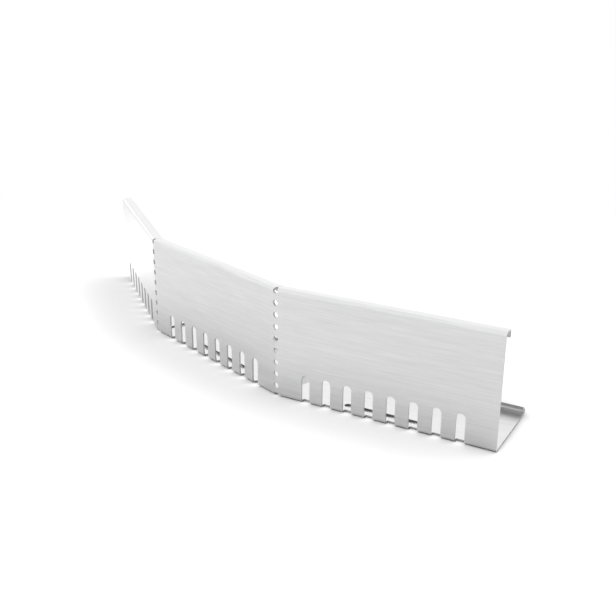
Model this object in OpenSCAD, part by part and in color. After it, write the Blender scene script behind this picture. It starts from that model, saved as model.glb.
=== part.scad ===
// Bendable gravel stop: one brushed steel sheet, slotted, folded and perforated so that its
// three panels turn about two upright bend lines. Millimetres, +X along the middle panel,
// -Y the side that faces out, +Z up. The origin is under the middle of the whole outline.

/* [Sheet] */
// Thickness of the sheet
sheet_t = 1.5; // [1:0.1:2]
// Outside radius of every fold
fold_r = 3; // [2.5:0.1:3.5]

/* [Panels] */
// Length of a panel, from bend line to bend line
panel_l = 200; // [170:1:300]
// Height of the face, over both folds
face_h = 100; // [60:1:150]
// Angle of each bend at rest
bend_a = 20; // [0:1:20]

/* [Top flange] */
// Width of the flange, over its lip
flange_w = 12; // [8:0.5:20]
// Height of the lip turned down behind the flange
flange_lip_h = 7.5; // [5:0.5:14]
// Half of the angle notched out of the flange at a bend line
flange_notch_a = 11; // [11:0.5:20]

/* [Base] */
// Depth of the base, over its rear fold
base_d = 78; // [50:1:110]
// Half of the angle notched out of the base at a bend line
base_notch_a = 20; // [11:0.5:25]
// Angle through which the rear lip is folded up and forward
rear_lip_a = 150; // [90:1:160]
// Length of the rear lip past its fold
rear_lip_l = 5.5; // [3:0.5:14]

/* [Fixing slots] */
// Length of the fixing slot in each base
fixing_l = 76; // [20:1:120]
// Width of the fixing slot
fixing_w = 6; // [4.5:0.5:8]
// Distance of the fixing slot's centre line behind the face
fixing_y = 12.5; // [11:0.5:30]

/* [Drainage slots] */
// Number of drainage slots in each panel
slot_n = 8; // [2:1:8]
// Distance between the centres of neighbouring slots
slot_pitch = 20; // [14:1:22]
// Width of a slot
slot_w = 8; // [5:0.5:10]
// Height of the round top of a slot
slot_h = 26; // [15:1:40]
// How far a slot reaches back into the base
slot_back = 4.5; // [4:0.5:6]

/* [Bend lines] */
// Diameter of the perforations along a bend line
perf_d = 5; // [3:0.5:6]
// Distance between the centres of neighbouring perforations
perf_pitch = 11; // [8:0.5:16]
// Distance of the highest perforation's centre below the top of the face
perf_drop = 2; // [1:0.5:3]
// Shortest web that is left above the base's fold
web_min = 2; // [1:0.5:4]
// Gap between the round edge of a web and the panel end that turns about it
web_gap = 0.05; // [0.05:0.01:0.1]

/* [Hidden] */
$fn = 72;
past = 1;                                // how far a cut runs past what it cuts

hinge_y = sheet_t / 2;                   // a bend line lies in the middle of the sheet
hinge_x = panel_l / 2;
end_gap = sheet_t / 2 + web_gap;         // from a bend line to the end of a panel
outline_d = hinge_y + panel_l * sin(bend_a) + (base_d - hinge_y) * cos(bend_a);

perf_top_z = face_h - perf_drop;
perf_room = perf_top_z - perf_d / 2 - fold_r - web_min;
perf_z = [for (k = [0 : floor(perf_room / perf_pitch)]) perf_top_z - k * perf_pitch];

// The folded section, drawn with the depth along X and the height along Y

module quarter_fold(start_a) {
  intersection() {
    difference() {
      circle(fold_r);
      circle(fold_r - sheet_t);
    }
    rotate(start_a) square(fold_r);
  }
}

// A point of the rear fold, at a radius and at the angle folded so far, about the fold's centre
function on_rear_fold(r, a) = r * [sin(a), -cos(a)];

module rear_fold_and_lip() {
  steps = 15;
  angles = [for (i = [0 : steps]) rear_lip_a * i / steps];
  inner_r = fold_r - sheet_t;
  along_lip = rear_lip_l * [cos(rear_lip_a), sin(rear_lip_a)];
  polygon(concat(
    [for (a = angles) on_rear_fold(fold_r, a)],
    [on_rear_fold(fold_r, rear_lip_a) + along_lip, on_rear_fold(inner_r, rear_lip_a) + along_lip],
    [for (i = [steps : -1 : 0]) on_rear_fold(inner_r, angles[i])]));
}

module face_and_base_section() {
  translate([0, fold_r]) square([sheet_t, face_h - 2 * fold_r]);
  translate([fold_r, fold_r]) quarter_fold(180);
  translate([fold_r, 0]) square([base_d - 2 * fold_r, sheet_t]);
  translate([base_d - fold_r, fold_r]) rear_fold_and_lip();
}

module flange_section() {
  translate([fold_r, face_h - fold_r]) quarter_fold(90);
  translate([fold_r, face_h - sheet_t]) square([flange_w - 2 * fold_r, sheet_t]);
  translate([flange_w - fold_r, face_h - fold_r]) quarter_fold(0);
  translate([flange_w - sheet_t, face_h - flange_lip_h]) square([sheet_t, flange_lip_h - fold_r]);
}

// Cuts in a panel, which lies along X about its middle with its face at Y = 0

module drainage_slot() {
  straight_h = slot_h - slot_w / 2;
  translate([-slot_w / 2, -past, -past]) cube([slot_w, slot_back + past, straight_h + past]);
  translate([0, -past, straight_h]) rotate([-90, 0, 0]) cylinder(d = slot_w, h = slot_back + past);
}

module fixing_slot() {
  run = fixing_l - fixing_w;
  translate([0, fixing_y, -past]) {
    translate([-run / 2, -fixing_w / 2, 0]) cube([run, fixing_w, sheet_t + 2 * past]);
    for (side = [-1, 1]) translate([side * run / 2, 0, 0]) cylinder(d = fixing_w, h = sheet_t + 2 * past);
  }
}

module perforations() {
  for (z = perf_z) translate([0, -past, z]) rotate([-90, 0, 0]) cylinder(d = perf_d, h = fold_r + 1.5 * past);
}

module foot_relief() {
  translate([-perf_d / 2, -past, -past]) cube([perf_d, fold_r + past, fold_r + past]);
  translate([0, fold_r, -past]) cylinder(d = perf_d, h = fold_r + past);
}

module notch(half_a, low, high) {
  reach = base_d + past;
  half_w = reach * tan(half_a);
  translate([0, hinge_y, low]) linear_extrude(height = high - low)
    polygon([[0, 0], [half_w, reach], [-half_w, reach]]);
}

module bend_line_cuts() {
  perforations();
  foot_relief();
  notch(base_notch_a, -past, face_h / 2);
  notch(flange_notch_a, face_h / 2, face_h + past);
}

module panel(bends_left, bends_right) {
  low_x = -panel_l / 2 + (bends_left ? end_gap : 0);
  high_x = panel_l / 2 - (bends_right ? end_gap : 0);
  difference() {
    translate([low_x, 0, 0]) rotate([90, 0, 90]) linear_extrude(height = high_x - low_x) {
      face_and_base_section();
      flange_section();
    }
    for (i = [0 : slot_n - 1]) translate([(i - (slot_n - 1) / 2) * slot_pitch, 0, 0]) drainage_slot();
    fixing_slot();
    if (bends_left) translate([-hinge_x, 0, 0]) bend_line_cuts();
    if (bends_right) translate([hinge_x, 0, 0]) bend_line_cuts();
  }
}

// The webs left between the perforations, each with a round edge on the bend line

module bend_webs() {
  difference() {
    translate([0, hinge_y, fold_r]) linear_extrude(height = perf_top_z - fold_r) {
      circle(d = sheet_t);
      translate([-end_gap, -sheet_t / 2]) square([end_gap, sheet_t]);
    }
    perforations();
  }
}

// Places in the whole part

module in_frame() {
  translate([0, -outline_d / 2, 0]) children();
}

module turned(side) {
  in_frame() translate([side * hinge_x, hinge_y, 0]) rotate([0, 0, side * bend_a])
    translate([side * panel_l / 2, -hinge_y, 0]) children();
}

module middle_panel() {
  color("gainsboro") in_frame() panel(true, true);
}

module left_panel() {
  color("gainsboro") turned(-1) panel(false, true);
}

module right_panel() {
  color("gainsboro") turned(1) panel(true, false);
}

module left_bend_webs() {
  color("silver") in_frame() translate([-hinge_x, 0, 0]) mirror([1, 0, 0]) bend_webs();
}

module right_bend_webs() {
  color("silver") in_frame() translate([hinge_x, 0, 0]) bend_webs();
}

middle_panel();
left_panel();
right_panel();
left_bend_webs();
right_bend_webs();
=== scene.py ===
import math
import bpy
from mathutils import Matrix, Vector


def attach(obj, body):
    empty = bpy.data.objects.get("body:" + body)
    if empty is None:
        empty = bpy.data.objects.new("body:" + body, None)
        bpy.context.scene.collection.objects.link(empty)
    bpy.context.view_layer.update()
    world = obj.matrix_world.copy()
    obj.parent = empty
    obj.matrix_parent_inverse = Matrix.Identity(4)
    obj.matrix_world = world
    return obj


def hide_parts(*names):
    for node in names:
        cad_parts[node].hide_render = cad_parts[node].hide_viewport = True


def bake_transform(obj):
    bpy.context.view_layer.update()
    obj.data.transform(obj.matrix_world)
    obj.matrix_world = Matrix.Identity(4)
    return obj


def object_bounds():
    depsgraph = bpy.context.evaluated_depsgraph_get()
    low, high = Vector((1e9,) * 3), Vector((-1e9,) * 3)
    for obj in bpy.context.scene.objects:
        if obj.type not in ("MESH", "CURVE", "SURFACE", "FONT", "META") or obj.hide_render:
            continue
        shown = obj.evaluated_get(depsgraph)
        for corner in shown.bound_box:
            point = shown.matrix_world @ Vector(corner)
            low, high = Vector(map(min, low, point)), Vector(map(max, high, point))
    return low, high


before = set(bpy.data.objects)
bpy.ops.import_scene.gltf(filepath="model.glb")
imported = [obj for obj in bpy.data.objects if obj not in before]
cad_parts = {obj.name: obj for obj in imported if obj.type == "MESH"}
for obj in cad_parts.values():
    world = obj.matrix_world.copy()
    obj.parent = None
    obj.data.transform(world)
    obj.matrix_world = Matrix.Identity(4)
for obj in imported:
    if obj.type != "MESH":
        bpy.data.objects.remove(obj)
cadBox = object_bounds()
print("frame loaded:", sorted(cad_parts))


class Wire:
    # one output socket; arithmetic on it adds Math nodes to its tree
    def __init__(self, maker, socket):
        self.maker = maker
        self.socket = socket

    def out(self, name):
        return Wire(self.maker, self.socket.node.outputs[name])

    def math(self, operation, first, second=0.0, third=0.0):
        return self.maker.add("ShaderNodeMath", {"operation": operation}, {0: first, 1: second, 2: third})

    def __add__(self, other): return self.math("ADD", self, other)
    def __radd__(self, other): return self.math("ADD", other, self)
    def __sub__(self, other): return self.math("SUBTRACT", self, other)
    def __rsub__(self, other): return self.math("SUBTRACT", other, self)
    def __mul__(self, other): return self.math("MULTIPLY", self, other)
    def __rmul__(self, other): return self.math("MULTIPLY", other, self)
    def __truediv__(self, other): return self.math("DIVIDE", self, other)
    def __rtruediv__(self, other): return self.math("DIVIDE", other, self)
    def __neg__(self): return self.math("MULTIPLY", self, -1.0)
    def above(self, other): return self.math("GREATER_THAN", self, other)
    def below(self, other): return self.math("LESS_THAN", self, other)
    def larger(self, other): return self.math("MAXIMUM", self, other)
    def clamped(self): return self.math("MINIMUM", self.larger(0.0), 1.0)
    def unsigned(self): return self.math("ABSOLUTE", self)
    def whole(self): return self.math("FLOOR", self)
    def root(self): return self.math("SQRT", self)
    def sine(self): return self.math("SINE", self)
    def cosine(self): return self.math("COSINE", self)
    def tangent(self): return self.math("TANGENT", self)


class Maker:
    # adds nodes to one tree: the settings are set first, then the values or links of the sockets
    def __init__(self, tree):
        self.tree = tree

    def add(self, kind, settings=None, values=None):
        node = self.tree.nodes.new(kind)
        for name, value in (settings or {}).items():
            setattr(node, name, value)
        for key, value in (values or {}).items():
            socket = node.inputs[key]
            for part in value if isinstance(value, list) else [value]:
                if isinstance(part, Wire):
                    self.tree.links.new(part.socket, socket)
                else:
                    socket.default_value = part
        shown = [socket for socket in node.outputs if socket.enabled]
        return Wire(self, shown[0]) if shown else None


def xyz(maker, x, y, z):
    return maker.add("ShaderNodeCombineXYZ", None, {0: x, 1: y, 2: z})


def parts(maker, vector):
    split = maker.add("ShaderNodeSeparateXYZ", None, {0: vector})
    return [split.out(axis) for axis in "XYZ"]


def newMaterial(name):
    material = bpy.data.materials.new(name)
    material.use_nodes = True
    material.node_tree.nodes.clear()
    return material, Maker(material.node_tree)


camera = {
    "place": (0.63515, -0.48822, 0.32944),
    "looking": (-0.71637, 0.60800, -0.34226),
    "rollDegrees": 0.306,
    "lens": 49.63, "sensor": 36.0,
    "nearest": 0.02, "furthest": 60.0,
}


def buildCamera():
    data = bpy.data.cameras.new("camera")
    data.lens = camera["lens"]
    data.sensor_width = camera["sensor"]
    data.clip_start = camera["nearest"]
    data.clip_end = camera["furthest"]
    obj = bpy.data.objects.new("camera", data)
    bpy.context.scene.collection.objects.link(obj)
    turn = Vector(camera["looking"]).to_track_quat("-Z", "Y").to_matrix()
    roll = Matrix.Rotation(math.radians(camera["rollDegrees"]), 3, "Z")
    obj.matrix_world = Matrix.Translation(Vector(camera["place"])) @ (turn @ roll).to_4x4()
    bpy.context.scene.camera = obj
    print("camera placed, lens", camera["lens"], "mm")


light = {
    "lamps": {
        "key": {"place": (1.5, 1.7, 2.4), "size": 2.4, "power": 48.0, "lights": "floor"},
        "front": {"place": (0.9, -1.9, 2.2), "size": 1.2, "power": 100.0, "lights": "floor"},
        "back": {"place": (-1.75, 1.55, 0.95), "size": 1.7, "power": 0.9, "lights": "metal"},
        "side": {"place": (-2.0, 0.0, 0.65), "size": 1.0, "power": 1.2, "lights": "metal"},
    },
    "world": 0.75, "worldInMetal": 1.10, "worldSeen": 1.0,
}
white = (1.0, 1.0, 1.0, 1.0)


def mirroredRay(rays):
    return rays.out("Is Glossy Ray").larger(rays.out("Is Transmission Ray"))


def buildLights():
    for name, lamp in light["lamps"].items():
        data = bpy.data.lights.new(name, "AREA")
        data.shape = "DISK"
        data.size = lamp["size"]
        data.energy = lamp["power"]
        obj = bpy.data.objects.new(name, data)
        bpy.context.scene.collection.objects.link(obj)
        obj.visible_diffuse = lamp["lights"] != "metal"
        obj.visible_glossy = lamp["lights"] != "floor"
        place = Vector(lamp["place"])
        aim = (-place).to_track_quat("-Z", "Y").to_matrix().to_4x4()
        obj.matrix_world = Matrix.Translation(place) @ aim
    world = bpy.data.worlds.new("studio")
    bpy.context.scene.world = world
    world.use_nodes = True
    world.node_tree.nodes.clear()
    maker = Maker(world.node_tree)
    rays = maker.add("ShaderNodeLightPath")
    dim, bright, seen = (
        maker.add("ShaderNodeBackground", None, {"Color": white, "Strength": light[strength]})
        for strength in ("world", "worldInMetal", "worldSeen"))
    mixed = maker.add("ShaderNodeMixShader", None, {0: mirroredRay(rays), 1: dim, 2: bright})
    mixed = maker.add("ShaderNodeMixShader", None, {0: rays.out("Is Camera Ray"), 1: mixed, 2: seen})
    maker.add("ShaderNodeOutputWorld", None, {"Surface": mixed})
    print("lamps and world made:", ", ".join(light["lamps"]))


floor = {
    "reach": 9.0, "drop": 0.0008,
    "fadeFrom": 0.45, "fadeTo": 0.85,                # distances over which it turns plain white
    "seen": {"glow": 0.45, "paint": 0.42, "closeness": 0.095},
    "mirrored": {"glow": 0.45, "paint": 0.295, "closeness": 0.085},
    "bounce": 0.8, "occlusionSamples": 16,
    # painted glow seen only in the metal: the floor brightens towards the left, and in a patch past the left
    # panel
    "paintedLeftGlow": 0.28,                                # gain in brightness for each metre to the left
    "paintedGlowPatch": {"glow": 0.45, "slant": 0.5, "frontFade": 0.12, "backEdge": 0.14, "backFade": 0.08,
             "sideRise": 10.0, "sideStart": 0.2},
}


def paper(maker, values, away, extra=0.0):
    # glows a little, so that lit paper is white and the object's shadow stays on it; the glow is dimmed by
    # ambient occlusion near the object, which is a painted shadow
    openness = maker.add("ShaderNodeAmbientOcclusion", {"samples": floor["occlusionSamples"]},
                         {"Distance": values["closeness"]}).out("AO")
    glow = maker.add("ShaderNodeEmission", None,
                     {"Color": white, "Strength": openness * openness * values["glow"] + extra})
    shade = maker.add("ShaderNodeBsdfDiffuse", None, {"Color": (*[values["paint"]] * 3, 1.0)})
    near = maker.add("ShaderNodeAddShader", None, {0: glow, 1: shade})
    far = maker.add("ShaderNodeEmission", None, {"Color": white, "Strength": 1.0})
    return maker.add("ShaderNodeMixShader", None, {0: away, 1: near, 2: far})


def buildFloor():
    mesh = bpy.data.meshes.new("studio_floor")
    r, z = floor["reach"], -floor["drop"]
    mesh.from_pydata([(-r, -r, z), (r, -r, z), (r, r, z), (-r, r, z)], [], [(0, 1, 2, 3)])
    obj = bpy.data.objects.new("studio_floor", mesh)
    bpy.context.scene.collection.objects.link(obj)
    material, maker = newMaterial("pale_floor")
    rays = maker.add("ShaderNodeLightPath")
    place = maker.add("ShaderNodeTexCoord").out("Object")
    distance = maker.add("ShaderNodeVectorMath", {"operation": "LENGTH"}, {0: place}).out("Value")
    away = ((distance - floor["fadeFrom"]) / (floor["fadeTo"] - floor["fadeFrom"])).clamped()
    bounce = maker.add("ShaderNodeBsdfDiffuse", None, {"Color": (*[floor["bounce"]] * 3, 1.0)})
    # in the metal the floor is brighter towards the left, and brightest past the left panel: a painted glow
    # that only reflections see
    x, y, _ = parts(maker, place)
    paintedGlowPatch = floor["paintedGlowPatch"]
    onPaintedGlowPatch = (((y - x * paintedGlowPatch["slant"]) / paintedGlowPatch["frontFade"]).clamped()
              * ((paintedGlowPatch["backEdge"] - y) / paintedGlowPatch["backFade"]).clamped()
              * (x * -paintedGlowPatch["sideRise"] - paintedGlowPatch["sideStart"]).clamped())
    mirrored = paper(maker, floor["mirrored"], away, onPaintedGlowPatch * paintedGlowPatch["glow"] - x * floor["paintedLeftGlow"])
    seen = paper(maker, floor["seen"], away)
    surface = maker.add("ShaderNodeMixShader", None, {0: mirroredRay(rays), 1: bounce, 2: mirrored})
    surface = maker.add("ShaderNodeMixShader", None, {0: rays.out("Is Camera Ray"), 1: surface, 2: seen})
    maker.add("ShaderNodeOutputMaterial", None, {"Surface": surface})
    mesh.materials.append(material)
    print("floor laid", floor["drop"] * 1000, "mm below the sheet")


steel = {
    "shade": 0.735, "shadeSwing": 0.36, "blueTint": 1.004,
    "roughness": 0.34, "roughnessSwing": 0.16,
    "fine": {"along": 36.0, "across": 2600.0, "share": 0.25},
    "middling": {"along": 30.0, "across": 760.0, "share": 0.45},
    "broad": {"along": 9.0, "across": 230.0, "share": 0.30},
    "streakDetail": 2.0, "streakRoughness": 0.6,
    "bump": 0.08, "bumpDepth": 0.0005,
}
bareEdge = {
    # the punched shade is darker than the cut metal itself: painted shade in the narrow fixing slot, the
    # notches and the lips' cut edges
    "sheared": 0.72, "pierced": 0.54, "punchedWithPaintedShade": 0.30,      # the shades that the cutEdge attribute holds
    "shadeSwing": 0.16, "roughness": 0.5, "roughnessSwing": 0.2,
    "drag": {"along": 900.0, "across": 260.0},
    "bump": 0.25, "bumpDepth": 0.0003,
}


def streaks(maker, place, layer):
    scale = (layer["along"], layer["across"], layer["across"])
    stretched = maker.add("ShaderNodeMapping", None, {"Vector": place, "Scale": scale})
    return maker.add("ShaderNodeTexNoise", {"noise_dimensions": "3D"},
                     {"Vector": stretched, "Scale": 1.0, "Detail": steel["streakDetail"],
                      "Roughness": steel["streakRoughness"]}).out("Fac")


def flatPlace(maker):
    # the place in the flat sheet, which both finishes follow
    return maker.add("ShaderNodeAttribute", {"attribute_name": "grain"}).out("Vector")


def metalSurface(maker, finish, shade, pattern, height):
    bump = maker.add("ShaderNodeBump", None,
                     {"Strength": finish["bump"], "Distance": finish["bumpDepth"], "Height": height})
    swung = shade + (pattern - 0.5) * finish["shadeSwing"]
    colour = maker.add("ShaderNodeCombineColor", None,
                       {"Red": swung, "Green": swung, "Blue": swung * steel["blueTint"]})
    rough = finish["roughness"] + (pattern - 0.5) * finish["roughnessSwing"]
    bsdf = maker.add("ShaderNodeBsdfPrincipled", None,
                     {"Base Color": colour, "Roughness": rough, "Metallic": 1.0, "Normal": bump})
    maker.add("ShaderNodeOutputMaterial", None, {"Surface": bsdf})


def brushedFinish(name):
    # brushed along the sheet's length, in streaks of three sizes
    material, maker = newMaterial(name)
    place = flatPlace(maker)
    fine, middling, broad = (streaks(maker, place, steel[size]) for size in ("fine", "middling", "broad"))
    mixed = (fine * steel["fine"]["share"] + middling * steel["middling"]["share"]
             + broad * steel["broad"]["share"])
    metalSurface(maker, steel, steel["shade"], mixed, fine * 0.5 + middling * 0.5)
    return material


def bareEdgeFinishWithPaintedShade(name):
    # bare cut metal, duller and darker, with the drag marks of the tool across the sheet; its darkest shade, in
    # the fixing slot, the notches and at the lips, is painted shade
    material, maker = newMaterial(name)
    drag = streaks(maker, flatPlace(maker), bareEdge["drag"])
    shade = maker.add("ShaderNodeAttribute", {"attribute_name": "cutEdge"}).out("Fac")
    metalSurface(maker, bareEdge, shade, drag, drag)
    return material


cutting = {
    "past": 0.001,               # how far a cutter reaches past what it cuts
    "almostHalf": 0.4999,        # a round end's share of the width, just short of closing on itself
    "joinWithin": 1e-7, "mendWithin": 5e-6, "sameSpot": 1e-5,
}
edges = {
    "crispFrom": math.radians(32), "brokenFrom": math.radians(50),
    "breakWidth": 0.00012, "breakSegments": 2, "largeFacesFirst": 60,
}


def newTree(name, values):
    # a geometry tree whose group inputs are the named values
    tree = bpy.data.node_groups.new(name, "GeometryNodeTree")
    tree.interface.new_socket("Geometry", in_out="OUTPUT", socket_type="NodeSocketGeometry")
    for label, value in values.items():
        kind = "NodeSocketInt" if isinstance(value, int) else "NodeSocketFloat"
        tree.interface.new_socket(label, in_out="INPUT", socket_type=kind)
    maker = Maker(tree)
    group = tree.nodes.new("NodeGroupInput")
    return tree, maker, {label: Wire(maker, group.outputs[label]) for label in values}


def closeTree(tree, geometry):
    out = tree.nodes.new("NodeGroupOutput")
    tree.links.new(geometry.socket, out.inputs[0])
    return tree


def position(maker):
    return maker.add("GeometryNodeInputPosition")


def polyline(maker, points):
    count = len(points)
    line = maker.add("GeometryNodeMeshLine", None, {"Count": count})
    chooser = maker.tree.nodes.new("GeometryNodeIndexSwitch")
    chooser.data_type = "VECTOR"
    while len(chooser.index_switch_items) < count:
        chooser.index_switch_items.new()
    maker.tree.links.new(maker.add("GeometryNodeInputIndex").socket, chooser.inputs[0])
    for i, point in enumerate(points):
        maker.tree.links.new(xyz(maker, *point).socket, chooser.inputs[i + 1])
    placed = maker.add("GeometryNodeSetPosition", None,
                       {"Geometry": line, "Position": Wire(maker, chooser.outputs[0])})
    return maker.add("GeometryNodeMeshToCurve", None, {"Mesh": placed})


def rounded(maker, curve, radius, steps):
    return maker.add("GeometryNodeFilletCurve", {"mode": "POLY"},
                     {"Curve": curve, "Count": steps, "Radius": radius})


def rectangle(maker, width, height):
    return maker.add("GeometryNodeCurvePrimitiveQuadrilateral", {"mode": "RECTANGLE"},
                     {"Width": width, "Height": height})


def filled(maker, curve):
    return maker.add("GeometryNodeFillCurve", {"mode": "NGONS"}, {"Curve": curve})


def moved(maker, geometry, place=(0.0, 0.0, 0.0), turn=(0.0, 0.0, 0.0)):
    return maker.add("GeometryNodeTransform", None,
                     {"Geometry": geometry, "Translation": place, "Rotation": turn})


def shaped(maker, geometry, place):
    return maker.add("GeometryNodeSetPosition", None, {"Geometry": geometry, "Position": place})


def repeated(maker, piece, count, start, step):
    line = maker.add("GeometryNodeMeshLine", None, {"Count": count, "Start Location": start, "Offset": step})
    return maker.add("GeometryNodeInstanceOnPoints", None, {"Points": line, "Instance": piece})


def real(maker, instances):
    return maker.add("GeometryNodeRealizeInstances", None, {0: instances})


def solidFrom(maker, face, run):
    # a closed solid: the face swept along a vector, and its flipped copy as the other end
    swept = maker.add("GeometryNodeExtrudeMesh", {"mode": "FACES"},
                      {"Mesh": face, "Offset": run, "Individual": False})
    back = maker.add("GeometryNodeFlipFaces", None, {"Mesh": face})
    joined = maker.add("GeometryNodeJoinGeometry", None, {0: [swept, back]})
    return maker.add("GeometryNodeMergeByDistance", None,
                     {"Geometry": joined, "Distance": cutting["joinWithin"]})


def marked(maker, geometry, shade):
    # remembers which faces a cut leaves bare, and their shade, the darkest of which is painted shade
    return maker.add("GeometryNodeStoreNamedAttribute", {"data_type": "FLOAT", "domain": "FACE"},
                     {"Geometry": geometry, "Name": "cutEdge", "Value": shade})


def withGrain(maker, geometry, shift):
    # remembers the place in the flat sheet
    place = maker.add("ShaderNodeVectorMath", {"operation": "ADD"},
                      {0: position(maker), 1: xyz(maker, shift, 0.0, 0.0)})
    return maker.add("GeometryNodeStoreNamedAttribute", {"data_type": "FLOAT_VECTOR", "domain": "POINT"},
                     {"Geometry": geometry, "Name": "grain", "Value": place})


def finished(maker, geometry, keepPlain, finishes):
    # soft shading over the folds, crisp edges, and the edges that are broken by a fine round
    angle = maker.add("GeometryNodeInputMeshEdgeAngle").out("Unsigned Angle")
    smooth = maker.add("GeometryNodeSetShadeSmooth", {"domain": "FACE"}, {0: geometry, 2: True})
    crisp = maker.add("GeometryNodeSetShadeSmooth", {"domain": "EDGE"},
                      {0: smooth, 1: angle.above(edges["crispFrom"]), 2: False})
    weight = angle.above(edges["brokenFrom"]) * (1.0 - keepPlain)
    broken = maker.add("GeometryNodeStoreNamedAttribute", {"data_type": "FLOAT", "domain": "EDGE"},
                       {"Geometry": crisp, "Name": "bevel_weight_edge", "Value": weight})
    whole = maker.add("GeometryNodeSetMaterial", None,
                      {"Geometry": real(maker, broken), "Material": finishes["sheet"]})
    isCut = maker.add("GeometryNodeInputNamedAttribute", {"data_type": "FLOAT"}, {"Name": "cutEdge"}).above(0.1)
    return maker.add("GeometryNodeSetMaterial", None,
                     {"Geometry": whole, "Selection": isCut, "Material": finishes["edge"]})


panel = {
    "Sheet thickness": 0.0015, "Fold radius": 0.003, "Fold steps": 10, "Round steps": 10,
    "Panel length": 0.200, "Face height": 0.100, "Flange width": 0.012, "Flange lip height": 0.0075,
    "Flange notch angle": math.radians(11), "Base depth": 0.078, "Base notch angle": math.radians(20),
    "Rear lip angle": math.radians(150), "Rear lip length": 0.0055,
    "Fixing slot length": 0.076, "Fixing slot width": 0.006, "Fixing slot place": 0.0125,
    "Slot count": 8, "Slot pitch": 0.020, "Slot width": 0.008, "Slot height": 0.026, "Slot reach": 0.0045,
    "Hole diameter": 0.005, "Hole pitch": 0.011, "Hole count": 9, "Top hole drop": 0.002,
    "End gap": 0.0008, "Bent on left": 1, "Bent on right": 1,
    "Turn": 0.0, "Place X": 0.0, "Place Y": 0.0, "Grain shift": 0.0,
}


def foldedEdge(maker, v, offset):
    # one side of the folded section, from the flange's lip round to the rear lip
    angle = v["Rear lip angle"]
    radius = v["Fold radius"] - offset
    foldY = v["Base depth"] - v["Fold radius"]
    sine, cosine = angle.sine(), angle.cosine()
    top, back = v["Face height"] - offset, v["Flange width"] - offset
    corners = [
        (0.0, back, v["Face height"] - v["Flange lip height"]),
        (0.0, back, top),
        (0.0, offset, top),
        (0.0, offset, offset),
        (0.0, foldY + radius * (angle * 0.5).tangent(), offset),
        (0.0, foldY + radius * sine + v["Rear lip length"] * cosine,
         v["Fold radius"] - radius * cosine + v["Rear lip length"] * sine),
    ]
    return rounded(maker, polyline(maker, corners), radius, v["Fold steps"])


def bareFolds(maker, v):
    # the sheared outline of the sheet: both ends, the flange lip's foot and the rear lip's tip; the lip's foot
    # and tip get the punched shade, which is painted shade
    near = cutting["sameSpot"]
    atEnds = parts(maker, maker.add("GeometryNodeInputNormal"))[0].unsigned().above(0.5)
    _, y, z = parts(maker, position(maker))
    atLipFoot = (z - (v["Face height"] - v["Flange lip height"])).unsigned().below(near)
    radius, angle = v["Fold radius"] - v["Sheet thickness"], v["Rear lip angle"]
    tip = v["Fold radius"] - radius * angle.cosine() + v["Rear lip length"] * angle.sine()
    atTip = z.above(tip - near) * z.below(v["Face height"] * 0.5) * y.above(v["Base depth"] * 0.5)
    shadedLipEdges = (atLipFoot + atTip).clamped() * (1.0 - atEnds)
    return atEnds * bareEdge["sheared"] + shadedLipEdges * bareEdge["punchedWithPaintedShade"]


def foldedSheet(maker, v):
    outer, inside = foldedEdge(maker, v, 0.0), foldedEdge(maker, v, v["Sheet thickness"])
    count = maker.add("GeometryNodeAttributeDomainSize", {"component": "CURVE"}, {0: outer}).out("Point Count")
    grid = maker.add("GeometryNodeMeshGrid", None, {"Vertices X": count, "Vertices Y": 2})
    index = maker.add("GeometryNodeInputIndex")
    row = ((index + 0.5) / 2.0).whole()
    isInside = (index - row * 2.0).above(0.5)
    spot = position(maker)

    def along(curve):
        return maker.add("GeometryNodeSampleIndex", {"data_type": "FLOAT_VECTOR", "domain": "POINT"},
                         {"Geometry": curve, "Value": spot, "Index": row})

    place = maker.add("GeometryNodeSwitch", {"input_type": "VECTOR"},
                      {"Switch": isInside, "False": along(outer), "True": along(inside)})
    section = shaped(maker, grid, place)
    half = v["Panel length"] * 0.5
    low = v["Bent on left"] * v["End gap"] - half
    high = half - v["Bent on right"] * v["End gap"]
    section = moved(maker, section, xyz(maker, low, 0.0, 0.0))
    return marked(maker, solidFrom(maker, section, xyz(maker, high - low, 0.0, 0.0)), bareFolds(maker, v))


def archCutter(maker, width, low, high, depth, steps):
    # an upright outline with a round top, as deep as given, its foot at low
    outline = rectangle(maker, width, high - low)
    isTop = parts(maker, position(maker))[1].above(0.0)
    arch = rounded(maker, outline, isTop * width * cutting["almostHalf"], steps)
    arch = moved(maker, arch, xyz(maker, 0.0, (high + low) * 0.5, 0.0))
    return solidFrom(maker, filled(maker, arch), xyz(maker, 0.0, 0.0, depth))


def upright(maker, geometry):
    return moved(maker, geometry, turn=(math.pi / 2, 0.0, 0.0))


def drainageSlots(maker, v):
    past = cutting["past"]
    slot = archCutter(maker, v["Slot width"], -past, v["Slot height"], v["Slot reach"] + past, v["Round steps"])
    slot = upright(maker, moved(maker, slot, xyz(maker, 0.0, 0.0, -v["Slot reach"])))
    start = (v["Slot count"] - 1.0) * v["Slot pitch"] * -0.5
    return real(maker, repeated(maker, marked(maker, slot, bareEdge["pierced"]), v["Slot count"],
                                xyz(maker, start, 0.0, 0.0), xyz(maker, v["Slot pitch"], 0.0, 0.0)))


def fixingSlot(maker, v):
    past = cutting["past"]
    slot = rectangle(maker, v["Fixing slot length"], v["Fixing slot width"])
    slot = rounded(maker, slot, v["Fixing slot width"] * cutting["almostHalf"], v["Round steps"])
    slot = solidFrom(maker, filled(maker, slot), xyz(maker, 0.0, 0.0, v["Sheet thickness"] + 2.0 * past))
    slot = moved(maker, slot, xyz(maker, 0.0, v["Fixing slot place"], -past))
    # the slot's walls take the punched shade, painted shade for the narrow slot
    return marked(maker, slot, bareEdge["punchedWithPaintedShade"])


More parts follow.
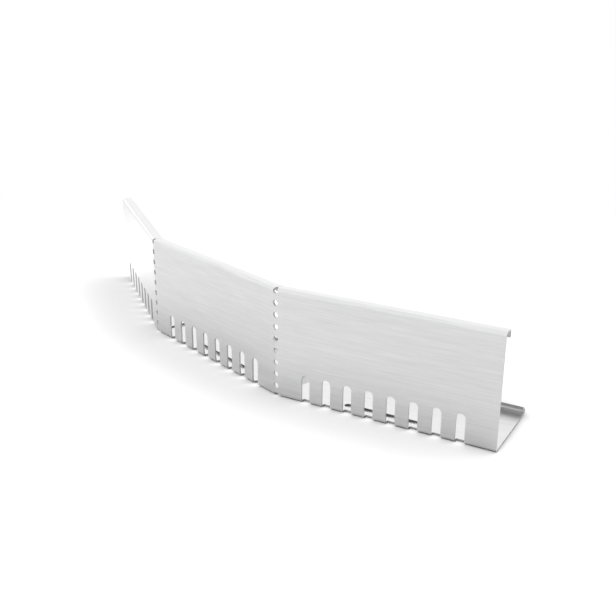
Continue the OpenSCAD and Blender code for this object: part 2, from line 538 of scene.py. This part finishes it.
def perforations(maker, v):
    past = cutting["past"]
    hole = maker.add("GeometryNodeCurvePrimitiveCircle", {"mode": "RADIUS"},
                     {"Resolution": v["Round steps"] * 4, "Radius": v["Hole diameter"] * 0.5})
    punch = solidFrom(maker, filled(maker, hole), xyz(maker, 0.0, 0.0, v["Fold radius"] + 1.5 * past))
    punch = moved(maker, punch, xyz(maker, 0.0, 0.0, -(v["Fold radius"] + 0.5 * past)))
    punch = marked(maker, upright(maker, punch), bareEdge["pierced"])
    return repeated(maker, punch, v["Hole count"], xyz(maker, 0.0, 0.0, v["Face height"] - v["Top hole drop"]),
                    xyz(maker, 0.0, 0.0, -v["Hole pitch"]))


def footRelief(maker, v):
    past = cutting["past"]
    relief = archCutter(maker, v["Hole diameter"], -past, v["Fold radius"] + v["Hole diameter"] * 0.5,
                        v["Fold radius"] + past, v["Round steps"])
    return marked(maker, moved(maker, relief, (0.0, 0.0, -past)), bareEdge["pierced"])


def notch(maker, v, angle, low):
    past = cutting["past"]
    reach = v["Base depth"] + past
    halfWidth = reach * angle.tangent()
    outline = polyline(maker, [(0.0, 0.0, 0.0), (halfWidth, reach, 0.0), (-halfWidth, reach, 0.0)])
    closed = maker.add("GeometryNodeSetSplineCyclic", None, {0: outline, "Cyclic": True})
    wedge = solidFrom(maker, filled(maker, closed), xyz(maker, 0.0, 0.0, v["Face height"] * 0.5 + past))
    wedge = moved(maker, wedge, xyz(maker, 0.0, v["Sheet thickness"] * 0.5, low))
    # the notch's cut edges take the punched shade, painted shade where the bases and flanges meet
    return marked(maker, wedge, bareEdge["punchedWithPaintedShade"])


def atBends(maker, v, cutter):
    half = v["Panel length"] * 0.5
    ends = maker.add("GeometryNodeMeshLine", None, {
        "Count": 2, "Start Location": xyz(maker, -half, 0.0, 0.0), "Offset": xyz(maker, half * 2.0, 0.0, 0.0)})
    atRight = maker.add("GeometryNodeInputIndex").above(0.5)
    chosen = (atRight * v["Bent on right"] + (1.0 - atRight) * v["Bent on left"]).above(0.5)
    return real(maker, maker.add("GeometryNodeInstanceOnPoints", None,
                                 {"Points": ends, "Selection": chosen, "Instance": cutter}))


def panelTree(finishes):
    tree, maker, v = newTree("folded_panel", panel)
    cut = foldedSheet(maker, v)
    cutters = [drainageSlots(maker, v), fixingSlot(maker, v)]
    for cutter in (perforations(maker, v), footRelief(maker, v),
                   notch(maker, v, v["Base notch angle"], -cutting["past"]),
                   notch(maker, v, v["Flange notch angle"], v["Face height"] * 0.5)):
        cutters.append(atBends(maker, v, cutter))
    for cutter in cutters:
        cut = maker.add("GeometryNodeMeshBoolean", {"operation": "DIFFERENCE", "solver": "EXACT"},
                        {"Mesh 1": cut, "Mesh 2": [cutter]})
    cut = maker.add("GeometryNodeMergeByDistance", None, {"Geometry": cut, "Distance": cutting["mendWithin"]})
    cut = withGrain(maker, cut, v["Grain shift"])
    # the edges where the bent strips meet the panel stay plain
    x, _, z = parts(maker, position(maker))
    end, near = v["Panel length"] * 0.5 - v["End gap"], cutting["sameSpot"]
    atEnd = x.unsigned().above(end - near) * x.unsigned().below(end + near)
    keepPlain = atEnd * z.below(v["Face height"] - v["Fold radius"])
    done = finished(maker, cut, keepPlain, finishes)
    done = moved(maker, done, xyz(maker, v["Place X"], v["Place Y"], 0.0), xyz(maker, 0.0, 0.0, v["Turn"]))
    return closeTree(tree, done)


strip = {
    "Sheet thickness": 0.0015, "Half width": 0.0008, "Bend angle": math.radians(20), "Bend steps": 9,
    "Foot": 0.003, "Face height": 0.100, "Top hole drop": 0.002, "Hole pitch": 0.011, "Hole diameter": 0.005,
    "Strip count": 9, "Side": 1.0, "Place X": 0.0, "Place Y": 0.0, "Panel length": 0.200,
}


def flatStrips(maker, v):
    # the strips of metal left between the holes, still flat, each ending in the holes' round edges
    half, thickness = v["Half width"], v["Sheet thickness"]
    flat = maker.add("GeometryNodeMeshGrid", None, {
        "Size X": half * 2.0, "Size Y": 1.0, "Vertices X": v["Bend steps"], "Vertices Y": 2})
    block = solidFrom(maker, flat, xyz(maker, 0.0, 0.0, thickness))
    block = moved(maker, block, xyz(maker, 0.0, thickness, 0.5), (math.pi / 2, 0.0, 0.0))
    strips = real(maker, repeated(maker, block, v["Strip count"], (0.0, 0.0, 0.0), (0.0, 0.0, 2.0)))
    x, y, z = parts(maker, position(maker))
    number = (z * 0.5 + 0.25).whole()
    rise = z - number * 2.0
    radius = v["Hole diameter"] * 0.5
    chord = (radius * radius - x * x).root()
    holeAbove = v["Face height"] - v["Top hole drop"] - (v["Strip count"] - 1.0 - number) * v["Hole pitch"]
    isFoot = number.below(0.5)
    low = isFoot * v["Foot"] + (1.0 - isFoot) * (holeAbove - v["Hole pitch"] + chord)
    high = holeAbove - chord
    return shaped(maker, strips, xyz(maker, x, y, low + rise * (high - low)))


def stripTree(finishes):
    tree, maker, v = newTree("bend_strips", strip)
    half = v["Half width"]
    bendX = v["Panel length"] * 0.5 * v["Side"]
    strips = withGrain(maker, flatStrips(maker, v), bendX)
    # bend the flat strips about an upright axis behind them
    halfBend = v["Bend angle"] * 0.5
    bendRadius = half / halfBend.tangent()
    centre = bendRadius / halfBend.cosine()
    lean = halfBend * v["Side"]
    x, y, z = parts(maker, position(maker))
    angle = x / half * halfBend + lean
    radius = bendRadius + v["Sheet thickness"] * 0.5 - y
    bentX = radius * angle.sine() - centre * lean.sine() + v["Place X"]
    bentY = centre * lean.cosine() - radius * angle.cosine() + v["Place Y"]
    bent = shaped(maker, strips, xyz(maker, bentX, bentY, z))
    # only the round edges at the holes are broken, not the ends that meet the panels
    grain = maker.add("GeometryNodeInputNamedAttribute", {"data_type": "FLOAT_VECTOR"}, {"Name": "grain"})
    keepPlain = (parts(maker, grain)[0] - bendX).unsigned().above(half - 1e-6)
    atHole = parts(maker, maker.add("GeometryNodeInputNormal"))[2].unsigned().above(0.5)
    bent = marked(maker, bent, atHole * bareEdge["pierced"])
    return closeTree(tree, finished(maker, bent, keepPlain, finishes))


def makePiece(name, tree, values):
    obj = bpy.data.objects.new(name, bpy.data.meshes.new(name))
    bpy.context.scene.collection.objects.link(obj)
    modifier = obj.modifiers.new("shape", "NODES")
    modifier.node_group = tree
    for item in tree.interface.items_tree:
        if item.in_out == "INPUT":
            modifier[item.identifier] = values[item.name]
    bevel = obj.modifiers.new("edges", "BEVEL")
    bevel.limit_method = "WEIGHT"
    bevel.width = edges["breakWidth"]
    bevel.segments = edges["breakSegments"]
    bevel.use_clamp_overlap = True
    weigh = obj.modifiers.new("normals", "WEIGHTED_NORMAL")
    weigh.keep_sharp = True
    weigh.weight = edges["largeFacesFirst"]
    graph = bpy.context.evaluated_depsgraph_get()
    mesh = bpy.data.meshes.new_from_object(obj.evaluated_get(graph), preserve_all_data_layers=True,
                                           depsgraph=graph)
    obj.modifiers.clear()
    empty = obj.data
    obj.data = mesh
    bpy.data.meshes.remove(empty)
    mesh.name = name
    print(name, "has", len(mesh.vertices), "vertices and", len(mesh.polygons), "faces")
    return obj


def buildPanels(finishes):
    tree = panelTree(finishes)
    length, t = panel["Panel length"], panel["Sheet thickness"]
    faceY = cadBox[0][1]
    for side, name in ((-1, "left"), (0, "middle"), (1, "right")):
        turn = side * strip["Bend angle"]
        middle = Vector((side * length / 2, -t / 2))
        turned = Vector((middle[0] * math.cos(turn) - middle[1] * math.sin(turn),
                         middle[0] * math.sin(turn) + middle[1] * math.cos(turn)))
        values = dict(panel)
        values.update({
            "Bent on left": int(side >= 0), "Bent on right": int(side <= 0), "Turn": turn,
            "Place X": side * length / 2 + turned[0], "Place Y": faceY + t / 2 + turned[1],
            "Grain shift": side * length})
        obj = makePiece(name + "_sheet", tree, values)
        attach(obj, name)
        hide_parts(name + "_panel")


def buildStrips(finishes):
    tree = stripTree(finishes)
    hingeY = cadBox[0][1] + strip["Sheet thickness"] / 2
    for side, name in ((-1, "left"), (1, "right")):
        values = dict(strip)
        values.update({"Side": float(side), "Place X": side * strip["Panel length"] / 2, "Place Y": hingeY})
        obj = makePiece(name + "_bend_strips", tree, values)
        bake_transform(obj)
        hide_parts(name + "_bend_webs")


buildCamera()
buildLights()
buildFloor()
finishes = {"sheet": brushedFinish("brushed_steel"), "edge": bareEdgeFinishWithPaintedShade("bare_edge_with_painted_shade")}
print("finishes made:", ", ".join(material.name for material in finishes.values()))
buildPanels(finishes)
buildStrips(finishes)

bpy.context.scene.view_settings.view_transform = "Standard"
